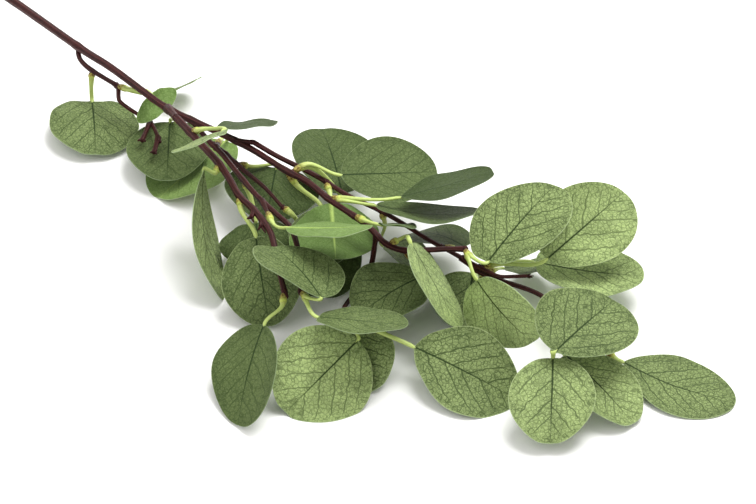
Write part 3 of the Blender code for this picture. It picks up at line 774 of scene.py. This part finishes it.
class Shader:
    """A material's nodes, added one call at a time. A call gives the new node's output."""

    def __init__(self, name):
        self.material = bpy.data.materials.new(name)
        self.material.use_nodes = True
        self.tree = self.material.node_tree
        self.surface = self.tree.nodes["Principled BSDF"]

    def put(self, socket, value):
        """Links a node's output to a socket, or sets the socket to a number or a colour."""
        if isinstance(value, bpy.types.NodeSocket):
            self.tree.links.new(value, socket)
        elif hasattr(value, "__len__") and len(value) == 3 and socket.type == "RGBA":
            socket.default_value = (*value, 1)
        else:
            socket.default_value = value

    def field(self, name):
        """One of the three fields that a piece's points carry."""
        node = self.tree.nodes.new("ShaderNodeAttribute")
        node.attribute_name = name
        return node.outputs["Vector"]

    def split(self, vector):
        """The three numbers of a vector."""
        node = self.tree.nodes.new("ShaderNodeSeparateXYZ")
        self.put(node.inputs[0], vector)
        return node.outputs[:]

    def math(self, operation, *values):
        """A sum, product or other result of numbers."""
        node = self.tree.nodes.new("ShaderNodeMath")
        node.operation = operation
        for socket, value in zip(node.inputs, values):
            self.put(socket, value)
        return node.outputs[0]

    def times(self, first, second):
        """The product of two numbers."""
        return self.math("MULTIPLY", first, second)

    def ramp(self, value, low, high, low_value=0.0, high_value=1.0):
        """A smooth change from low_value to high_value as value goes from low to high."""
        node = self.tree.nodes.new("ShaderNodeMapRange")
        node.interpolation_type = "SMOOTHSTEP"
        for socket, number in zip(node.inputs, (value, low, high, low_value, high_value)):
            self.put(socket, number)
        return node.outputs[0]

    def mix(self, share, first, second):
        """Two colours mixed. A share below 0 or above 1 goes on past them."""
        node = self.tree.nodes.new("ShaderNodeMix")
        node.data_type = "RGBA"
        node.clamp_factor = False
        self.put(node.inputs["Factor"], share)
        self.put(node.inputs[6], first)
        self.put(node.inputs[7], second)
        return node.outputs[2]

    def stretch(self, vector, size):
        """A place scaled by its own amount in each direction."""
        node = self.tree.nodes.new("ShaderNodeVectorMath")
        node.operation = "MULTIPLY"
        self.put(node.inputs[0], vector)
        node.inputs[1].default_value = size
        return node.outputs[0]

    def noise(self, vector, scale, detail=2.0, roughness=0.5):
        """A soft random pattern."""
        node = self.tree.nodes.new("ShaderNodeTexNoise")
        self.put(node.inputs["Vector"], vector)
        node.inputs["Scale"].default_value = scale
        node.inputs["Detail"].default_value = detail
        node.inputs["Roughness"].default_value = roughness
        return node.outputs["Fac"]

    def warp(self, vector, scale, amount):
        """A place that a noise shifts by up to the given amount."""
        cloud = self.tree.nodes.new("ShaderNodeTexNoise")
        cloud.inputs["Scale"].default_value = scale
        self.put(cloud.inputs["Vector"], vector)
        shift = self.tree.nodes.new("ShaderNodeVectorMath")
        shift.operation = "MULTIPLY_ADD"
        self.put(shift.inputs[0], cloud.outputs["Color"])
        shift.inputs[1].default_value = (amount, amount, 0)
        self.put(shift.inputs[2], vector)
        return shift.outputs[0]

    def cell_edges(self, vector, scale, inner, outer):
        """A net of lines: 1 up to inner from the border of two cells, 0 from outer on."""
        node = self.tree.nodes.new("ShaderNodeTexVoronoi")
        node.feature = "DISTANCE_TO_EDGE"
        self.put(node.inputs["Vector"], vector)
        node.inputs["Scale"].default_value = scale
        return self.ramp(node.outputs["Distance"], inner, outer, 1, 0)

    def finish(self, colour, roughness, height, depth, specular):
        """The finished material: its height is a bump of the given depth."""
        bump = self.tree.nodes.new("ShaderNodeBump")
        bump.inputs["Distance"].default_value = depth
        self.put(bump.inputs["Height"], height)
        self.put(self.surface.inputs["Normal"], bump.outputs["Normal"])
        self.put(self.surface.inputs["Base Color"], colour)
        self.put(self.surface.inputs["Roughness"], roughness)
        self.surface.inputs["Specular IOR Level"].default_value = specular
        return self.material


def blade_veins(shader, spot, phase, edge, patch):
    """How much of a vein each place is: side veins, the ladder between them, and a coarse and a fine net."""
    loose = shader.warp(spot, 0.5, 1.9)
    wobble = shader.math("MULTIPLY_ADD", shader.noise(spot, 0.2, 2), 0.44, -0.22)
    bent = shader.math("ADD", phase, wobble)
    side = shader.ramp(shader.math("PINGPONG", bent, 0.5), 0.028, 0.078, 1, 0)
    side = shader.times(side, shader.ramp(edge, 1.0, 7.0, 0.3, 1.0))
    ladder = shader.ramp(shader.math("PINGPONG", shader.times(bent, 4.0), 0.5), 0.04, 0.2, 1, 0)
    ladder = shader.times(ladder, shader.ramp(patch, 0.42, 0.6))
    net = shader.cell_edges(loose, NET_CELLS, 0.025, 0.13)
    net = shader.times(net, shader.ramp(patch, 0.3, 0.55, 0.5, 1.0))
    fine = shader.cell_edges(loose, FINE_CELLS, 0.03, 0.17)
    fine = shader.times(fine, shader.ramp(patch, 0.6, 0.4, 0.25, 0.9))
    veins = side
    for lines, strength in ((ladder, 0.6), (net, 0.86), (fine, 0.6)):
        veins = shader.math("MAXIMUM", veins, shader.times(lines, strength))
    return veins


def blade_material(name, look):
    """A leaf's face: a midrib, side veins and a fine net on mottled green, paler at its very edge."""
    shader = Shader(name)
    spot = shader.field("spot")
    phase, edge, middle = shader.split(shader.field("mark"))
    shade, share = shader.split(shader.field("tone"))[:2]
    cloud = shader.noise(spot, 0.06, 2)
    patch = shader.noise(spot, 0.35, 3, 0.6)
    fleck = shader.noise(spot, 1.5, 3, 0.65)
    veins = blade_veins(shader, spot, phase, edge, patch)
    rib = shader.ramp(middle, 0.15, shader.ramp(share, 0.0, 1.0, look.rib_width, 0.5), 1, 0)
    rib = shader.times(rib, shader.ramp(share, 0.45, 1.0, 0.95, 0.25))
    # The green: the leaf's tone, which carries painted light and shade, dark clouds, pale flecks and a darker
    # margin
    green = shader.mix(shade, look.dark, look.pale)
    green = shader.mix(shader.ramp(cloud, 0.38, 0.66, 0.0, 0.5), green, shader.mix(0.6, green, look.dark))
    bright = shader.ramp(fleck, 0.45, 0.68, 0.0, look.lift)
    bright = shader.times(bright, shader.ramp(shade, 0.0, 0.7, 0.25, 1.0))
    green = shader.mix(bright, green, look.light)
    margin = shader.times(shader.ramp(edge, 1.0, 8.0, 0.28, 0.0), shader.ramp(patch, 0.35, 0.6))
    green = shader.mix(margin, green, look.lines)
    # The lines on it: the veins, which are weaker on dark leaves, the midrib and the pale edge
    lines = shader.mix(shader.times(shade, 0.26), look.lines, green)
    strength = shader.ramp(shade, 0.0, 0.6, 0.6 * look.strength, look.strength)
    colour = shader.mix(shader.times(veins, strength), green, lines)
    colour = shader.mix(rib, colour, look.rib)
    hem = shader.times(shader.ramp(edge, 0.12, 0.5, 0.6, 0.0), shader.ramp(shade, 0.0, 0.6, 0.3, 1.0))
    colour = shader.mix(hem, colour, look.light)
    rough = shader.math("MULTIPLY_ADD", patch, 0.25, 0.48)
    height = shader.math("MULTIPLY_ADD", veins, -0.8, shader.times(fleck, 0.4))
    return shader.finish(colour, rough, height, 0.3 * MM, 0.13)


def rim_material():
    """A blade's thin rim: pale, and darker on dark leaves."""
    shader = Shader("leaf_rim")
    spot = shader.field("spot")
    shade = shader.split(shader.field("tone"))[0]
    colour = shader.mix(shader.noise(spot, 0.5), RIM_GREEN, RIM_PALE)
    colour = shader.mix(shader.ramp(shade, 0.0, 0.6, 0.65, 0.0), colour, RIM_DARK)
    return shader.finish(colour, 0.6, shader.noise(spot, 2.0), 0.05 * MM, 0.4)


def stalk_material():
    """A lime stalk, ochre at its root and greener under the blade, with a fine grain along it."""
    shader = Shader("stalk")
    spot = shader.field("spot")
    along = shader.split(shader.field("tone"))[0]
    colour = shader.mix(shader.noise(spot, 0.5), LIME, LIME_PALE)
    colour = shader.mix(shader.ramp(along, 0.0, 0.16, 0.4, 0.0), colour, LIME_ROOT)
    colour = shader.mix(shader.ramp(along, 0.75, 1.0, 0.0, 0.5), colour, LIME_END)
    grain = shader.noise(shader.stretch(spot, (0.15, 1, 1)), 1.6, 2)
    return shader.finish(colour, 0.45, grain, 0.15 * MM, 0.45)


def bark_material():
    """Dark red-brown bark with a painted pinkish highlight along its ribs, and the collars: ochre, and lime
    at their mouth.
    """
    shader = Shader("bark")
    spot = shader.field("spot")
    collar, _, rib = shader.split(shader.field("tone"))
    grain = shader.noise(shader.stretch(spot, (0.12, 1, 1)), 1.3, 3, 0.6)
    cloud = shader.noise(spot, 0.05, 2)
    brown = shader.mix(shader.ramp(grain, 0.3, 0.7), BARK_DARK, BARK_BROWN)
    brown = shader.mix(shader.ramp(cloud, 0.4, 0.7, 0.0, 0.5), brown, BARK_RED)
    # Painted highlight: the crests of the ribs turn pinkish
    brown = shader.mix(shader.ramp(rib, 1.0, 1.05, 0.0, 0.4), brown, RIB_HIGHLIGHT)
    ochre = shader.mix(shader.ramp(shader.noise(spot, 0.7, 3), 0.35, 0.65), OCHRE_DARK, OCHRE)
    colour = shader.mix(shader.ramp(collar, 0.05, 0.4), brown, ochre)
    colour = shader.mix(shader.ramp(collar, 0.6, 0.95), colour, COLLAR_LIME)
    rough = shader.math("MULTIPLY_ADD", grain, 0.35, 0.25)
    return shader.finish(colour, rough, grain, 0.5 * MM, 0.14)


def make_floor():
    """A plain pale floor."""
    corners = [(x * FLOOR_REACH, y * FLOOR_REACH, 0) for x, y in ((-1, -1), (1, -1), (1, 1), (-1, 1))]
    data = bpy.data.meshes.new("floor")
    data.from_pydata(corners, [], [(0, 1, 2, 3)])
    shader = Shader("floor")
    shader.surface.inputs["Base Color"].default_value = FLOOR_COLOUR
    shader.surface.inputs["Roughness"].default_value = FLOOR_ROUGHNESS
    data.materials.append(shader.material)
    floor = bpy.data.objects.new("floor", data)
    link(floor)


def make_light():
    """A pale sky, a soft lamp above the far right and a weaker one over the near left."""
    world = bpy.data.worlds.new("sky")
    world.use_nodes = True
    background = world.node_tree.nodes["Background"]
    background.inputs["Color"].default_value = SKY_COLOUR
    background.inputs["Strength"].default_value = SKY_STRENGTH
    bpy.context.scene.world = world
    right, _, forward = view_axes()
    away = Vector((forward.x, forward.y, 0)).normalized()
    for name, (right_share, away_share, rise), width, power in LAMPS:
        offset = right * right_share + away * away_share + Vector((0, 0, rise))
        light = bpy.data.lights.new(name, "AREA")
        light.size = width
        light.energy = power
        lamp = bpy.data.objects.new(name, light)
        lamp.location = VIEW_CENTRE + offset
        lamp.rotation_mode = "QUATERNION"
        lamp.rotation_quaternion = offset.to_track_quat("Z", "Y")
        link(lamp)


def make_camera():
    """The camera stands where the picture was taken from."""
    forward = view_axes()[2]
    data = bpy.data.cameras.new("camera")
    data.sensor_width = SENSOR_WIDTH
    data.lens = FOCAL_PIXELS / PICTURE_SIZE[0] * SENSOR_WIDTH
    data.clip_end = CLIP_END
    camera = bpy.data.objects.new("camera", data)
    camera.location = VIEW_CENTRE - forward * VIEW_DISTANCE
    camera.rotation_mode = "QUATERNION"
    camera.rotation_quaternion = forward.to_track_quat("-Z", "Y")
    link(camera)
    bpy.context.scene.camera = camera


def main():
    make_camera()
    stems = {stem.name: stem for stem in STEMS}
    leaf_materials = [blade_material("leaf_upper", UPPER_LOOK), blade_material("leaf_under", UNDER_LOOK),
                      rim_material(), stalk_material()]
    bark = bark_material()
    for stem in STEMS:
        make_stem(stem, bark)
    for joint in JOINTS:
        if joint.leaves:
            roots, direction = leaf_roots(joint, stems)
            for item, root in zip(joint.leaves, roots):
                make_leaf(item, root, direction, leaf_materials)
    make_floor()
    make_light()
    bpy.context.scene.view_settings.view_transform = "Standard"


main()
